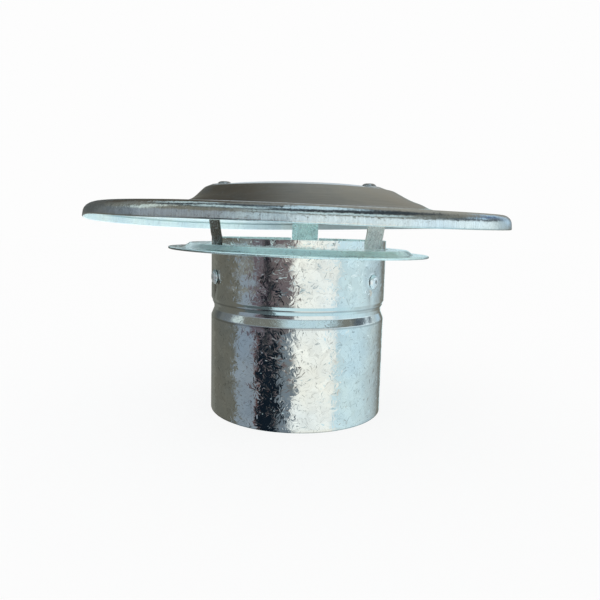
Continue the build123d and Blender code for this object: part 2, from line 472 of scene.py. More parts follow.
def zinc(name, colour, finish, strength=None, shade=None):
    """A galvanised finish on a piece with a UV map in metres.

    finish holds grain (mm), lean, arm and needle (slopes), shine and frost (roughness of
    a bright and of a dull facet), contrast (of the crystals), streak (how strongly
    working lines show), stain (how strongly grey blooms show), patina (the share of matt
    oxide) and, on a round sheet, rim (mm). strength and shade, where given, make sockets
    from the tree that scale the crystals and the colour; shade paints light and shade
    into the colour.
    """
    material, tree, shader = new_material(name)
    sheet_map = tree.nodes.new("ShaderNodeUVMap")
    sheet_map.uv_map = "Sheet"
    place = vector_calc(tree, "SCALE", sheet_map.outputs[0], scale=1 / MM)
    crystal = spangle(tree, place, finish["grain"])
    amount = strength(tree) if strength else 1.0
    drawn = work_lines(tree, place, finish.get("rim"))
    bloom = noise(tree, place, BLOOM_FINENESS, 4, 0.6, "2D")
    speck = noise(tree, place, SPECK_FINENESS, 3, 0.7, "2D")

    value = calc(tree, "SUBTRACT", total(tree, crystal["tone"], crystal["facet"]), 1.0)
    furrow = product(tree, calc(tree, "MAXIMUM", crystal["steep"], 0.04), 2.3)
    value = calc(tree, "SUBTRACT", product(tree, value, 0.6), furrow)
    value = product(tree, value, amount, finish["contrast"])
    lines = product(tree, calc(tree, "SUBTRACT", drawn, 0.5), finish["streak"])
    dull = span(tree, bloom, 0.42, 0.72, 0, finish["stain"])
    value = calc(tree, "SUBTRACT", total(tree, value, lines, 1.0), dull)
    if shade:
        value = product(tree, value, shade(tree))
    tint = blend(tree, bloom, srgb(255, 249, 236), srgb(232, 245, 255))
    toned = vector_calc(tree, "SCALE", blend(tree, 1.0, colour, tint, "MULTIPLY"), scale=value)
    tree.links.new(toned, shader.inputs["Base Color"])

    gloss = span(tree, crystal["facet"], 0.1, 0.9, finish["shine"], finish["frost"])
    grainy = product(tree, calc(tree, "SUBTRACT", speck, 0.5), 0.6 * finish["shine"])
    gloss = total(tree, gloss, grainy, product(tree, dull, 0.5))
    tree.links.new(gloss, shader.inputs["Roughness"])
    shader.inputs["Metallic"].default_value = 1.0 - finish["patina"]
    shader.inputs["Specular IOR Level"].default_value = 0.5 - 0.45 * finish["patina"]

    leans = [
        vector_calc(tree, "SCALE", crystal["grain_lean"], scale=finish["lean"]),
        vector_calc(tree, "SCALE", crystal["arm_lean"], scale=finish["arm"]),
        vector_calc(tree, "SCALE", crystal["needle_lean"], scale=finish["needle"]),
    ]
    lean = vector_calc(tree, "ADD", vector_calc(tree, "ADD", leans[0], leans[1]), leans[2])
    lean = vector_calc(tree, "MULTIPLY", vector_calc(tree, "SCALE", lean, scale=amount), (1, 1, 0))
    facing = tree.nodes.new("ShaderNodeNormalMap")
    facing.uv_map = "Sheet"
    feed(tree, facing.inputs["Color"], vector_calc(tree, "ADD", lean, (0.5, 0.5, 1.0)))
    fine = total(tree, product(tree, speck, 0.008), product(tree, drawn, 0.02 * finish["streak"]))
    add_bump(tree, shader, fine, 1.0, facing.outputs[0])
    return material


def on_part(tree):
    """The place on the part, in mm."""
    own = tree.nodes.new("ShaderNodeTexCoord").outputs["Object"]
    return vector_calc(tree, "SCALE", own, scale=1 / MM)


def from_axis(tree):
    """Distance from the part's upright axis, in mm."""
    flat = vector_calc(tree, "MULTIPLY", on_part(tree), (1, 1, 0))
    return vector_calc(tree, "LENGTH", flat, result="Value")


def band(tree, value, low, high, soft):
    """1 between low and high, and 0 beyond, with soft sides."""
    over = span(tree, value, low - soft, low)
    return product(tree, over, span(tree, value, high, high + soft, 1, 0))


def plain_metal(name, colour, rough, blotch, matt=0.0):
    """A plain metal with fine scratches and blotches, on Object coordinates."""
    material, tree, shader = new_material(name)
    own = tree.nodes.new("ShaderNodeTexCoord").outputs["Object"]
    cloud = noise(tree, own, 900, 4, 0.6)
    scratch = noise(tree, vector_calc(tree, "MULTIPLY", own, (5000, 900, 5000)), 1.0, 3, 0.6)
    value = span(tree, cloud, 0.3, 0.7, 1 - blotch, 1 + blotch)
    toned = vector_calc(tree, "SCALE", colour, scale=value)
    tree.links.new(toned, shader.inputs["Base Color"])
    gloss = span(tree, scratch, 0.3, 0.7, rough * 0.7, rough * 1.3)
    tree.links.new(gloss, shader.inputs["Roughness"])
    shader.inputs["Metallic"].default_value = 1.0 - matt
    add_bump(tree, shader, cloud, 0.02)
    return material


# Sheets


def rounded_line(corners, bends, step=2.0, arc_steps=7):
    """A line through corners, each inner one rounded by an arc of its bend radius.

    An arc's centre lies on the corner's bisector, at radius / sin(half the corner's
    angle), and it meets the two sides at radius / tan(half the angle) from the corner.
    Straight runs are divided into steps no longer than step.
    """
    corners = [np.array(c, float) for c in corners]
    runs = [corners[0][None]]
    for before, corner, after, bend in zip(corners, corners[1:], corners[2:], bends):
        back = (before - corner) / np.linalg.norm(before - corner)
        ahead = (after - corner) / np.linalg.norm(after - corner)
        half = np.arccos(np.clip(back @ ahead, -1, 1)) / 2
        middle = (back + ahead) / np.linalg.norm(back + ahead)
        centre = corner + middle * bend / np.sin(half)
        first = corner + back * bend / np.tan(half) - centre
        last = corner + ahead * bend / np.tan(half) - centre
        sweep = pi - 2 * half
        share = np.linspace(0, 1, arc_steps)[:, None]
        arc = np.sin((1 - share) * sweep) * first + np.sin(share * sweep) * last
        runs.append(centre + arc / np.sin(sweep))
    runs.append(corners[-1][None])
    line = np.concatenate(runs)
    length = np.linalg.norm(np.diff(line, axis=0), axis=1)
    pieces = np.maximum(1, np.ceil(length / step).astype(int))
    place = np.concatenate([[0], np.cumsum(length)])
    stops = [np.linspace(a, b, n, endpoint=False) for a, b, n in zip(place, place[1:], pieces)]
    stops = np.concatenate([*stops, place[-1:]])
    return np.stack([np.interp(stops, place, line[:, k]) for k in (0, 1)], axis=1)


def line_normals(line):
    """Unit normals of a line, to its left, and the unit slopes they are taken from."""
    slope = np.gradient(line, axis=0)
    slope /= np.linalg.norm(slope, axis=1)[:, None]
    return np.stack([-slope[:, 1], slope[:, 0]], axis=1), slope


def thick_section(line, thickness, from_axis=False):
    """A sheet's section: the line, its cut end, and the line again at thickness aside.

    A positive thickness lies to the left. The cut ends have their corners broken. A
    section from the axis begins and ends on it, so that end isn't cut.
    """
    normal, slope = line_normals(line)
    aside = np.sign(thickness) * normal
    deep = abs(thickness)
    far = line + aside * deep

    def cut(k, way):
        out = slope[k] * way * CUT_EDGE
        first = line[k] + aside[k] * CUT_EDGE
        last = line[k] + aside[k] * (deep - CUT_EDGE)
        return np.array([line[k] - out, first, last, far[k] - out])

    if from_axis:
        return np.concatenate([line[:-1], cut(-1, 1), far[:-1][::-1]])
    return np.concatenate([line[1:-1], cut(-1, 1), far[1:-1][::-1], cut(0, -1)[::-1]])


def arc_length(points):
    """Distance along a line of points, from its start."""
    return np.concatenate([[0], np.cumsum(np.linalg.norm(np.diff(points, axis=0), axis=1))])


def folded_back(distance):
    """Distance along a section, running back again along the sheet's other face."""
    return np.minimum(distance, distance[-1] - distance)


def add_mesh(name, points, places, poles=False, inner_from=None):
    """A piece from a grid of points in mm, closed round its columns and its rows.

    With poles the first and the last row are each one point, and the rows between them
    are a tube. places, the sheet map in mm, has one more column, and without poles one
    more row, for the closing faces. The faces from row inner_from on take the piece's
    second material, but not the closing ones. Six times the volume is the sum over the
    faces of a . (b x c) + a . (c x d), and where it is negative the faces are turned round.
    """
    rows, columns = points.shape[:2]
    if poles:
        coords = np.concatenate([points[0, :1], points[1:-1].reshape(-1, 3), points[-1, :1]])
        middle = 1 + np.arange((rows - 2) * columns).reshape(rows - 2, columns)
        first, last = np.zeros((1, columns), int), np.full((1, columns), len(coords) - 1)
        index = np.concatenate([first, middle, last])
    else:
        coords = points.reshape(-1, 3)
        index = np.arange(rows * columns).reshape(rows, columns)
        index = np.concatenate([index, index[:1]])
    index = np.concatenate([index, index[:, :1]], axis=1)
    corners = np.stack([index[:-1, :-1], index[:-1, 1:], index[1:, 1:], index[1:, :-1]], -1)
    spots = np.stack([places[:-1, :-1], places[:-1, 1:], places[1:, 1:], places[1:, :-1]], -2)
    corners, spots = corners.reshape(-1, 4), spots.reshape(-1, 4, 2)
    keep = np.ones(corners.shape, bool)
    if poles:
        keep[:columns, 1] = False
        keep[-columns:, 3] = False
    a, b, c, d = (coords[corners[:, k]] for k in range(4))
    volume = np.sum(a * np.cross(b, c)) + np.sum(a * np.cross(c, d))
    if volume < 0:
        corners, spots, keep = corners[:, ::-1], spots[:, ::-1], keep[:, ::-1]
    faces = [corner[kept].tolist() for corner, kept in zip(corners, keep)]
    mesh = bpy.data.meshes.new(name)
    mesh.from_pydata(coords * MM, [], faces)
    sheet_map = mesh.uv_layers.new(name="Sheet")
    sheet_map.data.foreach_set("uv", (spots[keep] * MM).astype(np.float32).ravel())
    if inner_from is not None:
        row = np.arange(len(faces)) // columns
        inner = (row >= inner_from) & (row < rows - 1)
        mesh.polygons.foreach_set("material_index", inner.astype(np.int32))
    mesh.shade_smooth()
    mesh.set_sharp_from_angle(angle=radians(SHARP_ANGLE))
    piece = add_object(name, mesh)
    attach(piece, "root")
    return piece


def azimuths(extra, start=0.0):
    """Azimuths right round from start, one to a degree, with extra ones at sharp features."""
    even = np.arange(360)
    also = (np.array(extra, float) - start) % 360
    return start + np.unique(np.concatenate([even, also]).round(4))


def turned(radius, azimuth, height):
    """Points at a radius, azimuth in degrees from the front, and height."""
    angle = np.radians(azimuth)
    x, y, z = np.broadcast_arrays(radius * np.sin(angle), -radius * np.cos(angle), height)
    return np.stack([x, y, z], -1)


def round_map(reach, azimuth):
    """A flat sheet map that goes round its centre at each reach, closed at the end."""
    angle = np.radians(np.append(azimuth, azimuth[0] + 360))[None]
    return np.stack([reach[:, None] * np.sin(angle), -reach[:, None] * np.cos(angle)], -1)


def gap(azimuth, centre):
    """Signed degrees from centre to azimuth, between -180 and 180."""
    return (azimuth - centre + 180) % 360 - 180


def smooth(value, low, high):
    """0 below low, 1 above high, and a smooth step between."""
    share = np.clip((value - low) / (high - low), 0, 1)
    return share * share * (3 - 2 * share)


def hill(value, centre, breadth):
    """A bell curve of height 1 at its centre."""
    return np.exp(-(((value - centre) / breadth) ** 2))


def slow_wave(azimuth, height, seed):
    """Slow waves on a rolled wall: a sum of six sines of azimuth and height."""
    draw = np.random.default_rng(seed)
    wave = 0.0
    for turns in (3, 4, 5, 7, 9, 11):
        phase, climb = draw.uniform(0, 2 * pi), draw.uniform(-0.05, 0.05)
        wave = wave + np.sin(np.radians(azimuth) * turns + climb * height + phase)
    return wave / 3


def build_collar(sizes):
    """The rolled collar: a thick section turned round, with its lap, notches and dents.

    The radius is the section's, plus the sheet's thickness on the lap, less a round
    dimple at each spot weld, less a dent round each rivet's head and a crease below it,
    less a faint second bead at the front left, plus slow waves. The top edge falls to
    the notch floor within half a notch's width of each leg.
    """
    corners = [
        (COLLAR_R, 0),
        (COLLAR_R, BEAD_FOOT_Z),
        (BEAD_R, BEAD_FLOOR_Z),
        (BEAD_R, BEAD_BROW_Z),
        (LEDGE_R, LEDGE_Z),
        (LEDGE_R, LEDGE_Z + LEDGE_HEIGHT),
        (COLLAR_R, BEAD_HEAD_Z),
        (COLLAR_R, COLLAR_HEIGHT),
    ]
    line = rounded_line(corners, [2.0, 1.6, 1.0, 0.5, 0.5, 1.0], step=1.8)
    section = thick_section(line, SHEET)
    lap_start = SEAM_AZIMUTH - SEAM_HALF_ANGLE
    lap_end = SEAM_AZIMUTH + SEAM_HALF_ANGLE
    half_notch = np.degrees(np.arcsin(NOTCH_WIDTH / 2 / COLLAR_R))
    extra = [lap_start - 0.12, lap_start, lap_end, lap_end + SEAM_TAPER_ANGLE]
    for leg in LEG_AZIMUTHS.values():
        for side in (-half_notch, half_notch):
            extra += [leg + side - 0.03, leg + side + 0.03]
    extra += list(SEAM_AZIMUTH + np.linspace(-4, 4, 33))
    azimuth = azimuths(extra, start=lap_start - 0.12)
    radius, height = section[:, :1], section[:, 1:]
    across = azimuth[None]

    notched = np.zeros_like(across)
    for leg in LEG_AZIMUTHS.values():
        notched = np.maximum(notched, (np.abs(gap(across, leg)) < half_notch) * 1.0)
    sink = (COLLAR_HEIGHT - NOTCH_FLOOR_Z) * smooth(height, BEAD_HEAD_Z, COLLAR_HEIGHT - CUT_EDGE)
    z = height - notched * sink

    wall = np.interp(height, line[:, 1], line[:, 0])
    outer = radius > wall - SHEET / 2
    lap_ends = [-SEAM_HALF_ANGLE - 0.1, -SEAM_HALF_ANGLE, SEAM_HALF_ANGLE]
    lap_ends.append(SEAM_HALF_ANGLE + SEAM_TAPER_ANGLE)
    shift = outer * SHEET * np.interp(gap(across, SEAM_AZIMUTH), lap_ends, [0, 1, 1, 0])
    side = np.radians(gap(across, SEAM_AZIMUTH)) * COLLAR_R
    for weld in WELD_HEIGHTS:
        dimple = np.clip(1 - (side**2 + (z - weld) ** 2) / WELD_R**2, 0, 1)
        shift = shift - outer * WELD_DEPTH * dimple
    for leg in LEG_AZIMUTHS.values():
        side = np.radians(gap(across, leg)) * COLLAR_R
        dent = hill(side, 0, 6.5) * hill(z, COLLAR_RIVET_Z, 7)
        crease = 0.5 * hill(side, -1.5, 2.2) * hill(z, CREASE_Z, 6)
        beyond_head = smooth(np.hypot(side, z - COLLAR_RIVET_Z), 3.2, 5.6)
        shift = shift - sizes.dent_depth / MM * (dent + crease) * beyond_head
    at_bead = smooth(-np.abs(gap(across, SECOND_BEAD_AZIMUTH)), -45, -25)
    shift = shift - SECOND_BEAD_DEPTH * (hill(z, SECOND_BEAD_Z, 1.4) * at_bead)
    calm = smooth(z, -30, 12) * smooth(-z, -COLLAR_HEIGHT - 10, -COLLAR_HEIGHT + 16)
    wave = slow_wave(across, z, 4) * calm - 1
    points = turned(radius + shift + sizes.wall_wave / MM * wave, across, z)

    along = np.append(azimuth, azimuth[0] + 360)
    edge = arc_length(np.concatenate([section, section[:1]]))
    u, v = np.meshgrid(np.radians(along - azimuth[0]) * COLLAR_R, edge)
    return add_mesh("collar_sheet", points, np.stack([u, v], -1), inner_from=len(line))


def build_cap(sizes):
    """The pressed cap: a thick section from the axis out to the hem, turned round.

    Beyond the cone the rim rises and falls by the wave times -0.4 + 0.68 cos a
    + 0.28 sin a - 0.58 cos 2a - sin 2a, at azimuth a, and stands a little to the left.
    The cone's left flank swells near the plateau and is dented below that, and its right
    flank swells near the foot. The plateau stays level under each rivet head, and at the
    far left the lip flares, with its hem lifted.
    """
    corners = [
        (0, PLATEAU_Z + PLATEAU_CROWN),
        (PLATEAU_EDGE_R, PLATEAU_Z + PLATEAU_CROWN),
        (CONE_HEAD_R, CONE_HEAD_Z),
        (CONE_FOOT_R, CONE_FOOT_Z),
        (LIP_TOP_R, LIP_TOP_Z),
        (CAP_R, LIP_BOTTOM_Z),
        (CAP_R - HEM_WIDTH, LIP_BOTTOM_Z),
        (LIP_TOP_R - HEM_WIDTH, LIP_BOTTOM_Z + LIP_HEM_LENGTH),
    ]
    line = rounded_line(corners, [20.0, 5.0, 8.0, 5.0, HEM_BEND, HEM_BEND], arc_steps=9)
    section = thick_section(line, -SHEET, from_axis=True)
    azimuth = azimuths([])
    radius, height = section[:, :1], section[:, 1:]
    across = azimuth[None]
    angle = np.radians(across)
    wave = -0.4 + 0.68 * np.cos(angle) + 0.28 * np.sin(angle)
    wave = wave - 0.58 * np.cos(2 * angle) - np.sin(2 * angle)
    ease = smooth(radius, WAVE_START_R, LIP_TOP_R - 6)
    z = height + sizes.rim_wave / MM * wave * ease
    left = hill(gap(across, LEFT_FLANK_AZIMUTH), 0, 32)
    right = hill(gap(across, RIGHT_FLANK_AZIMUTH), 0, 35)
    pushed = left * (0.5 * hill(radius, HEAD_SWELL_R, 4) - 1.5 * hill(radius, DENT_R, 6))
    pushed = pushed + right * hill(radius, FOOT_SWELL_R, 6)
    z = z + sizes.cone_bulge / MM * pushed
    crown = line[line[:, 0] < CONE_FOOT_R]
    sunk = np.clip(PLATEAU_Z - np.interp(radius, *crown.T), -PLATEAU_CROWN, 0.8)
    for leg in LEG_AZIMUTHS.values():
        away = turned(radius, across, 0) - turned(CAP_RIVET_R, leg, 0)
        z = z + sunk * smooth(-np.linalg.norm(away, axis=-1), -9.5, -5.0)
    far_left = hill(gap(across, FLARE_AZIMUTH), 0, 15) * smooth(radius, 90, LIP_TOP_R - 4)
    lean = smooth(height, LIP_BOTTOM_Z - 1, LIP_TOP_Z)
    z = z + FLARE_LIFT * far_left * (1 - 0.8 * lean)
    radius = radius - FLARE_REACH * far_left * lean
    shrunk = CAP_R - sizes.rim_shift / MM
    points = turned(radius * (1 + (shrunk / CAP_R - 1) * ease), across, z)
    points[..., 0] -= sizes.rim_shift / MM * ease
    places = round_map(folded_back(arc_length(section)), azimuth)
    return add_mesh("cap_sheet", points, places, poles=True, inner_from=len(line) - HEM_ROWS)


def build_ring(sizes):
    """The storm ring: a thick hat section turned round, its neck let out over the lap.

    It sits a little askew, and falls from left to right by the tilt across its width.
    """
    corners = [
        (COLLAR_R, NECK_FOOT_Z),
        (COLLAR_R, RING_TOP_Z),
        (RING_STEP_INNER_R, RING_TOP_Z),
        (RING_STEP_OUTER_R, RING_BRIM_Z),
        (RING_R, RING_BRIM_Z),
        (RING_R, RING_BRIM_Z - HEM_WIDTH),
        (RING_R - RING_HEM_LENGTH, RING_BRIM_Z - HEM_WIDTH),
    ]
    line = rounded_line(corners, [2.0, 1.6, 1.6, HEM_BEND, HEM_BEND], step=1.2, arc_steps=9)
    section = thick_section(line, -SHEET)
    azimuth = azimuths([])
    radius, height = section[:, :1], section[:, 1:]
    across = azimuth[None]
    over_lap = smooth(-np.abs(gap(across, SEAM_AZIMUTH + SEAM_TAPER_ANGLE / 2)), -13, -8)
    neck = smooth(-radius, -57, -54)
    points = turned(radius + SHEET * over_lap * neck, across, height)
    points[..., 2] -= points[..., 0] * sizes.ring_tilt / MM / (2 * RING_R)
    reach = COLLAR_R + folded_back(arc_length(np.concatenate([section, section[:1]])))
    return add_mesh("storm_ring_sheet", points, round_map(reach, azimuth))


def build_strap(node):
    """A strap leg: a rounded bar section carried along the bent side line.

    Across the foot the strap bends back from its middle by (across squared) / (2 R),
    to lie in the collar's bore, and it flattens out above the notch. Its width narrows
    round the two end corners.
    """
    corners = [
        (COLLAR_BORE_R, LEG_FOOT_Z),
        (COLLAR_BORE_R, LEG_CURVED_TOP_Z),
        (LEG_FLAT_R, LEG_FLAT_Z),
        (LEG_ELBOW_R, LEG_ELBOW_Z),
        (LEG_TAB_R, PLATEAU_Z - SHEET),
        (LEG_TAB_END_R, PLATEAU_Z - SHEET),
    ]
    line = rounded_line(corners, [12, 12, 3.0, 1.6], step=0.8, arc_steps=9)
    ends = np.array([0, 0.05, 0.2, 0.5, 0.9, 1.4, 2.0])
    length = arc_length(line)
    clear = ends[-1] + 0.2
    inner = length[(length > clear) & (length < length[-1] - clear)]
    stops = np.unique(np.concatenate([ends, inner, length[-1] - ends]))
    line = np.stack([np.interp(stops, length, line[:, k]) for k in (0, 1)], 1)
    normal, _ = line_normals(line)
    near_end = np.minimum(stops, stops[-1] - stops)
    left_over = np.clip(LEG_CORNER - near_end, 0, None)
    half = LEG_WIDTH / 2 - LEG_CORNER + np.sqrt(LEG_CORNER**2 - left_over**2)
    thin = np.where(near_end < 0.04, CUT_EDGE, 0)[:, None]

    quarter = np.linspace(0, pi / 2, 4)
    flat = np.linspace(1, -1, 9)[1:-1]
    none = np.zeros(len(flat))
    side_w = np.concatenate([np.ones(4), flat, -np.ones(8), -flat, np.ones(4)])
    side_h = np.concatenate([np.ones(4), none + 1, np.ones(4), -np.ones(4), none - 1, -np.ones(4)])
    level, upright = np.cos(quarter), np.sin(quarter)
    curve_w = np.concatenate([level, none, -upright, -level, none, upright])
    curve_h = np.concatenate([upright, none + 1, level, -upright, none - 1, -level])
    w = side_w * (half[:, None] - LEG_EDGE_R) + curve_w * LEG_EDGE_R
    h = side_h * (STRAP / 2 - LEG_EDGE_R - thin) + curve_h * LEG_EDGE_R

    curl = 1 - smooth(line[:, 1:], LEG_CURVED_TOP_Z, LEG_FLAT_Z)
    back = curl * w**2 / (2 * COLLAR_BORE_R)
    depth = h + STRAP / 2
    radial = line[:, :1] + normal[:, :1] * depth - back
    z = line[:, 1:] + normal[:, 1:] * depth
    angle = radians(LEG_AZIMUTHS[node])
    x = radial * sin(angle) + w * cos(angle)
    y = w * sin(angle) - radial * cos(angle)
    tube = np.stack([x, y, z], -1)
    first = np.repeat(tube[:1].mean(1, keepdims=True), tube.shape[1], 1)
    last = np.repeat(tube[-1:].mean(1, keepdims=True), tube.shape[1], 1)
    points = np.concatenate([first, tube, last])
    middle = len(stops) // 2
    across = arc_length(np.stack([w[middle], h[middle]], 1))
    across = np.append(across, across[-1] + STRAP)
    along = np.concatenate([[0], stops, stops[-1:]])
    places = np.stack(np.meshgrid(across, along), -1)
    return add_mesh(node.replace("leg", "strap"), points, places, poles=True)


class RAINCAP_OT_cap(bpy.types.Operator):
    """Builds the pressed cap in place of its CAD node"""

    bl_idname = "raincap.cap"
    bl_label = "Press the cap"

    def execute(self, context):
        def crystals(tree):
            inner = span(tree, from_axis(tree), 48, 55, 1, 0)
            outer = span(tree, from_axis(tree), 73, 82, 0, 1)
            return total(tree, calc(tree, "MAXIMUM", inner, outer), 0.06)

        # Painted shade: the cap's colour darkens from the plateau out to the cone's foot and comes
        # back to full beyond it, on the brim and lip.
        def painted_cone_shade(tree):
            upper = span(tree, from_axis(tree), 52, 73, 0.86, 0.66)
            beyond = span(tree, from_axis(tree), 75, 82, 0, 0.34)
            return total(tree, upper, beyond)

        # Painted shade: the underside's colour darkens towards the right and the back.
        def painted_shade_corner(tree):
            spot = parts_of(tree, on_part(tree))
            right, back = span(tree, spot[0], -70, 28), span(tree, spot[1], 20, 80)
            return calc(tree, "SUBTRACT", 1.0, product(tree, right, back, 0.54))

        look = context.scene.rain_cap_colours
        piece = build_cap(context.scene.rain_cap_sizes)
        finish = dict(grain=3.5, lean=0.015, arm=0.015, needle=0.04, shine=0.12, frost=0.19)
        finish |= dict(contrast=0.08, streak=0.45, stain=0.1, patina=0.0, rim=121)
        outer = zinc("Cap zinc", tuple(look.cap), finish, crystals, painted_cone_shade)
        piece.data.materials.append(outer)
        below = finish | dict(patina=0.92, shine=0.3, frost=0.4, needle=0.03, streak=0.1)
        under = zinc("Cap underside zinc", tuple(look.underside), below, None, painted_shade_corner)
        piece.data.materials.append(under)
        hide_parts("cap_dish")
        return {"FINISHED"}


class RAINCAP_OT_collar(bpy.types.Operator):
    """Builds the rolled collar in place of its CAD node"""

    bl_idname = "raincap.collar"
    bl_label = "Roll the collar"

    def execute(self, context):
        def rolled_smooth(tree):
            height = parts_of(tree, on_part(tree))[2]
            bead = band(tree, height, BEAD_FOOT_Z, BEAD_HEAD_Z, 2)
            return calc(tree, "SUBTRACT", 1.0, product(tree, bead, 0.7))

        # Painted shade: the collar's colour darkens at its bottom edge and in thin lines just
        # below the bead's foot and at its ledge.
        def painted_crease_shade(tree):
            height = parts_of(tree, on_part(tree))[2]
            cut_edge = span(tree, height, 0.1, 0.9, 0.5, 0)
            foot = band(tree, height, BEAD_FOOT_Z - 0.7, BEAD_FOOT_Z - 0.2, 0.6)
            head = band(tree, height, LEDGE_Z - 0.3, LEDGE_Z + 0.2, 0.5)
            lines = product(tree, total(tree, foot, head), 0.3)
            return calc(tree, "SUBTRACT", 1.0, total(tree, cut_edge, lines))

        look = context.scene.rain_cap_colours
        sizes = context.scene.rain_cap_sizes
        piece = build_collar(sizes)
        finish = dict(lean=0.02, arm=0.03, needle=0.1, shine=0.04, frost=0.1, contrast=0.17)
        finish |= dict(grain=sizes.spangle_size / MM, streak=0.05, stain=0.05, patina=0.0)
        outer = zinc("Collar zinc", tuple(look.collar), finish, rolled_smooth, painted_crease_shade)
        piece.data.materials.append(outer)
        inside = finish | dict(patina=0.6, shine=0.2, frost=0.3)
        piece.data.materials.append(zinc("Collar bore zinc", tuple(look.underside), inside))
        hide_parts("collar")
        return {"FINISHED"}


class RAINCAP_OT_ring(bpy.types.Operator):
    """Builds the storm ring in place of its CAD node"""

    bl_idname = "raincap.ring"
    bl_label = "Spin the storm ring"

    def execute(self, context):
        # Painted highlights: the ring's colour brightens across the plateau to its edge and along
        # the hem. Painted shade: it darkens towards the ring's left end.
        def painted_ring_light(tree):
            reach = from_axis(tree)
            edge = span(tree, reach, RING_STEP_INNER_R - 10, RING_STEP_INNER_R)
            below = span(tree, reach, RING_STEP_INNER_R, RING_STEP_INNER_R + 1, 1, 0)
            hem = span(tree, reach, RING_R - 1.6, RING_R - 0.6, 0, 0.6)
            painted_highlight = calc(tree, "MAXIMUM", product(tree, edge, below), hem)
            left = span(tree, parts_of(tree, on_part(tree))[0], -64, -30, 0.3, 1)
            return product(tree, total(tree, product(tree, painted_highlight, 0.3), 0.95), left)

        look = context.scene.rain_cap_colours
        piece = build_ring(context.scene.rain_cap_sizes)
        finish = dict(grain=4.0, lean=0.015, arm=0.02, needle=0.1, shine=0.07, frost=0.15)
        finish |= dict(contrast=0.16, streak=0.12, stain=0.12, patina=0.1, rim=200)
        piece.data.materials.append(zinc("Ring zinc", tuple(look.ring), finish, None, painted_ring_light))
        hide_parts("storm_ring")
        return {"FINISHED"}


class RAINCAP_OT_straps(bpy.types.Operator):
    """Builds the three strap legs in place of their CAD nodes"""

    bl_idname = "raincap.straps"
    bl_label = "Bend the straps"

    def execute(self, context):
        look = context.scene.rain_cap_colours
        finish = dict(grain=4.5, lean=0.02, arm=0.03, needle=0.2, shine=0.18, frost=0.3)
        finish |= dict(contrast=0.2, streak=0.3, stain=0.1, patina=0.5)
        for node in LEG_AZIMUTHS:
            piece = build_strap(node)
            # Each strap takes its own lit or shaded copy of the zinc's colour.
            metal = zinc(f"{node} zinc", tuple(getattr(look, node)), finish)
            piece.data.materials.append(metal)
            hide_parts(node)
        return {"FINISHED"}


class RAINCAP_OT_rivets(bpy.types.Operator):
    """Finishes the rivet sleeves and their broken stems"""

    bl_idname = "raincap.rivets"
    bl_label = "Finish the rivets"

    def execute(self, context):
        sleeve = plain_metal("Rivet sleeve", (0.62, 0.63, 0.63), 0.3, 0.12)
        # Painted highlight: the collar's rivets are the same as the cap's, with sleeve and stem
        # painted lighter.
        bright = plain_metal("Bright rivet sleeve", (0.9, 0.94, 0.96), 0.3, 0.1, 0.12)
        stem = plain_metal("Rivet stem", (0.2, 0.19, 0.18), 0.45, 0.35)
        pale = plain_metal("Pale rivet stem", (0.5, 0.5, 0.5), 0.45, 0.2)
        for node, metal in (
            ("cap_rivets", sleeve),
            ("collar_rivets", bright),
            ("cap_rivet_pins", stem),
            ("collar_rivet_pins", pale),
        ):
            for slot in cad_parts[node].material_slots:
                slot.material = metal
        return {"FINISHED"}


# Studio


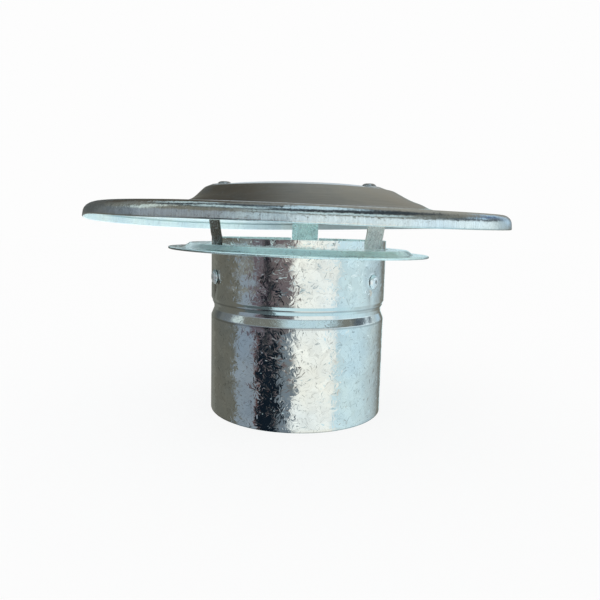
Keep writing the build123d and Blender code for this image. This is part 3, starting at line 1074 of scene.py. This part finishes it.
# What the metal sees round it, as soft-edged boards: middle azimuth, half width and
# side softness, then low edge, high edge and softness of those, all in degrees, and
# the colour on a screen. Each board stands in front of the ones above it in the list.
ROOM = (122, 123, 116)
BOARDS = (
    # The pale floor all round, and its glow along the foot of the back wall
    (0, 200, 10, -100, -36, 12, (206, 234, 242)),
    (174, 13, 8, -100, 8, 8, (216, 246, 253)),
    # The dim upper room, paler at the back, and the ceiling
    (0, 200, 10, 44, 120, 8, (58, 66, 72)),
    (180, 60, 40, 30, 120, 20, (134, 133, 128)),
    (75, 105, 30, 70, 120, 8, (206, 232, 246)),
    # Back: dim on the left, warmer on the right with a pale and a blue patch, a lamp between
    (-148, 18, 30, 10, 62, 22, (76, 71, 62)),
    (-140, 20, 10, 3, 24, 8, (88, 91, 90)),
    (150, 22, 40, 10, 60, 16, (160, 158, 150)),
    (128, 18, 12, 3, 28, 6, (192, 226, 252)),
    (131, 9, 8, 11, 28, 6, (76, 102, 142)),
    (180, 11, 6, 4, 26, 6, (200, 212, 220)),
    # Lamps high up, on the left
    (-126, 14, 12, 48, 64, 6, (190, 212, 220)),
    (-52, 30, 16, 50, 66, 6, (190, 212, 218)),
    # Left: an olive wall, a grey-blue panel over a dim floor, a thin red edge, and above
    # them grey walls and a lamp
    (-112, 26, 8, -75, 3, 6, (105, 105, 98)),
    (-70, 15, 5, -36, -4, 4, (138, 150, 162)),
    (-66, 26, 14, -75, -38, 4, (84, 96, 100)),
    (-53, 1.6, 2, -36, -2, 4, (104, 66, 66)),
    (-100, 20, 24, 4, 20, 8, (108, 114, 118)),
    (-60, 34, 30, 4, 20, 8, (148, 158, 168)),
    (-89, 9, 5, 19, 44, 6, (210, 224, 222)),
    # Right: a long pale wall
    (108, 28, 30, -36, 20, 10, (180, 196, 201)),
    # Front: a dark curtain with lighter strips over it, left of a big window and its wall
    (-8, 16, 16, -36, -12, 6, (116, 128, 138)),
    (-36, 16, 6, -36, -10, 6, (18, 28, 38)),
    (-18, 17, 4, -10, 2, 4, (110, 100, 104)),
    (-52, 10, 6, -10, 2, 4, (104, 96, 104)),
    (-38, 6, 6, -10, 2, 4, (36, 36, 44)),
    (-14, 16, 24, 4, 20, 8, (196, 214, 222)),
    (72, 34, 50, -36, 6, 8, (210, 235, 244)),
    (82, 36, 24, 2, 18, 6, (243, 260, 268)),
    (24, 27, 10, -36, 3, 5, (250, 253, 249)),
    (28, 30, 16, 4, 19, 6, (230, 246, 253)),
    # Over the window: a pale blue screen, and dim again on the right
    (22, 42, 30, 28, 42, 6, (204, 228, 235)),
    (96, 14, 8, 16, 30, 6, (92, 102, 110)),
    (122, 12, 6, 12, 20, 5, (90, 100, 108)),
)
PAPER = (253, 253, 253)


def light_studio():
    """White to the camera and to matt things. Glossy metal sees the soft boards."""
    world = bpy.data.worlds.new("Studio")
    bpy.context.scene.world = world
    world.use_nodes = True
    tree = world.node_tree
    tree.nodes.clear()
    way = parts_of(tree, tree.nodes.new("ShaderNodeTexCoord").outputs["Generated"])
    turn = calc(tree, "ARCTAN2", way[0], product(tree, way[1], -1.0))
    azimuth = calc(tree, "DEGREES", turn)
    rise = calc(tree, "DEGREES", calc(tree, "ARCSINE", way[2]))
    studio = srgb(*ROOM)
    for middle, half, side_soft, low, high, end_soft, colour in BOARDS:
        aside = calc(tree, "WRAP", calc(tree, "SUBTRACT", azimuth, middle), 180.0, -180.0)
        aside = calc(tree, "ABSOLUTE", aside)
        inside = span(tree, aside, half - side_soft / 2, half + side_soft / 2, 1, 0)
        above = span(tree, rise, low - end_soft / 2, low + end_soft / 2)
        below = span(tree, rise, high - end_soft / 2, high + end_soft / 2, 1, 0)
        studio = blend(tree, product(tree, inside, above, below), studio, srgb(*colour))
    seen = tree.nodes.new("ShaderNodeLightPath")
    shown = blend(tree, seen.outputs["Is Glossy Ray"], srgb(*PAPER), studio)
    shine = tree.nodes.new("ShaderNodeBackground")
    tree.links.new(shown, shine.inputs[0])
    tree.links.new(shine.outputs[0], tree.nodes.new("ShaderNodeOutputWorld").inputs[0])


def lift_light():
    """A soft light near the floor at the back left, as thrown up by a pale floor."""
    glow = bpy.data.lights.new("floor_glow", "AREA")
    glow.shape = "DISK"
    glow.size = 0.4
    glow.energy = 0.38
    glow.color = (0.92, 1.0, 1.2)
    lamp = add_object("floor_glow", glow)
    lamp.location = (-0.15, 0.12, 0.002)
    lamp.rotation_euler = (pi, 0, 0)
    lamp.visible_camera = False
    lamp.visible_glossy = False


def lay_floor():
    """A pale matt floor, partly lit from within so that shadows on it stay faint."""
    reach = 4.0
    mesh = bpy.data.meshes.new("floor")
    corners = [(-reach, -reach, 0), (reach, -reach, 0), (reach, reach, 0), (-reach, reach, 0)]
    mesh.from_pydata(corners, [], [(0, 1, 2, 3)])
    floor = add_object("floor", mesh)
    floor.visible_glossy = False
    paper, _, shader = new_material("Pale floor")
    shade = srgb(*PAPER)[0]
    matt = 0.13
    shader.inputs["Base Color"].default_value = (matt * shade, matt * shade, matt * shade, 1)
    shader.inputs["Roughness"].default_value = 1.0
    shader.inputs["Specular IOR Level"].default_value = 0.0
    shader.inputs["Emission Color"].default_value = (shade, shade, shade, 1)
    shader.inputs["Emission Strength"].default_value = 1 - matt
    mesh.materials.append(paper)


def stand_camera():
    """The camera, aimed by its yaw and pitch and then rolled about its line of sight."""
    aim = Vector((sin(CAMERA_YAW), cos(CAMERA_YAW), 0)) * cos(CAMERA_PITCH)
    aim.z = -sin(CAMERA_PITCH)
    right = Vector((cos(CAMERA_YAW), -sin(CAMERA_YAW), 0))
    up = right.cross(aim)
    tipped = right * cos(CAMERA_ROLL) + up * sin(CAMERA_ROLL)
    top = up * cos(CAMERA_ROLL) - right * sin(CAMERA_ROLL)
    lens = bpy.data.cameras.new("camera")
    lens.lens = CAMERA_LENS
    lens.sensor_width = CAMERA_SENSOR
    lens.clip_start = 0.01
    camera = add_object("camera", lens)
    facing = Matrix((tipped, top, -aim)).transposed().to_4x4()
    camera.matrix_world = Matrix.Translation(CAMERA_STAND) @ facing
    bpy.context.scene.camera = camera


class RAINCAP_OT_stage(bpy.types.Operator):
    """Lays the pale floor, lights the studio and stands the camera"""

    bl_idname = "raincap.stage"
    bl_label = "Set the stage"

    def execute(self, context):
        context.scene.view_settings.view_transform = "Standard"
        light_studio()
        lift_light()
        lay_floor()
        stand_camera()
        return {"FINISHED"}


class RAINCAP_PT_panel(bpy.types.Panel):
    """Lists the steps that build the rain cap"""

    bl_idname = "RAINCAP_PT_panel"
    bl_label = "Rain cap"
    bl_space_type = "VIEW_3D"
    bl_region_type = "UI"
    bl_category = "Rain cap"

    def draw(self, context):
        for settings in (context.scene.rain_cap_sizes, context.scene.rain_cap_colours):
            for name in settings.__annotations__:
                self.layout.prop(settings, name)
        for step in STEPS:
            self.layout.operator(step.bl_idname)


STEPS = (
    RAINCAP_OT_cap,
    RAINCAP_OT_collar,
    RAINCAP_OT_ring,
    RAINCAP_OT_straps,
    RAINCAP_OT_rivets,
    RAINCAP_OT_stage,
)
CLASSES = (RainCapSizes, RainCapColours, *STEPS, RAINCAP_PT_panel)


def register():
    for each in CLASSES:
        bpy.utils.register_class(each)
    bpy.types.Scene.rain_cap_sizes = bpy.props.PointerProperty(type=RainCapSizes)
    bpy.types.Scene.rain_cap_colours = bpy.props.PointerProperty(type=RainCapColours)


def unregister():
    del bpy.types.Scene.rain_cap_colours
    del bpy.types.Scene.rain_cap_sizes
    for each in reversed(CLASSES):
        bpy.utils.unregister_class(each)


def main():
    register()
    for step in STEPS:
        group, name = step.bl_idname.split(".")
        getattr(getattr(bpy.ops, group), name)()


if __name__ == "__main__":
    main()
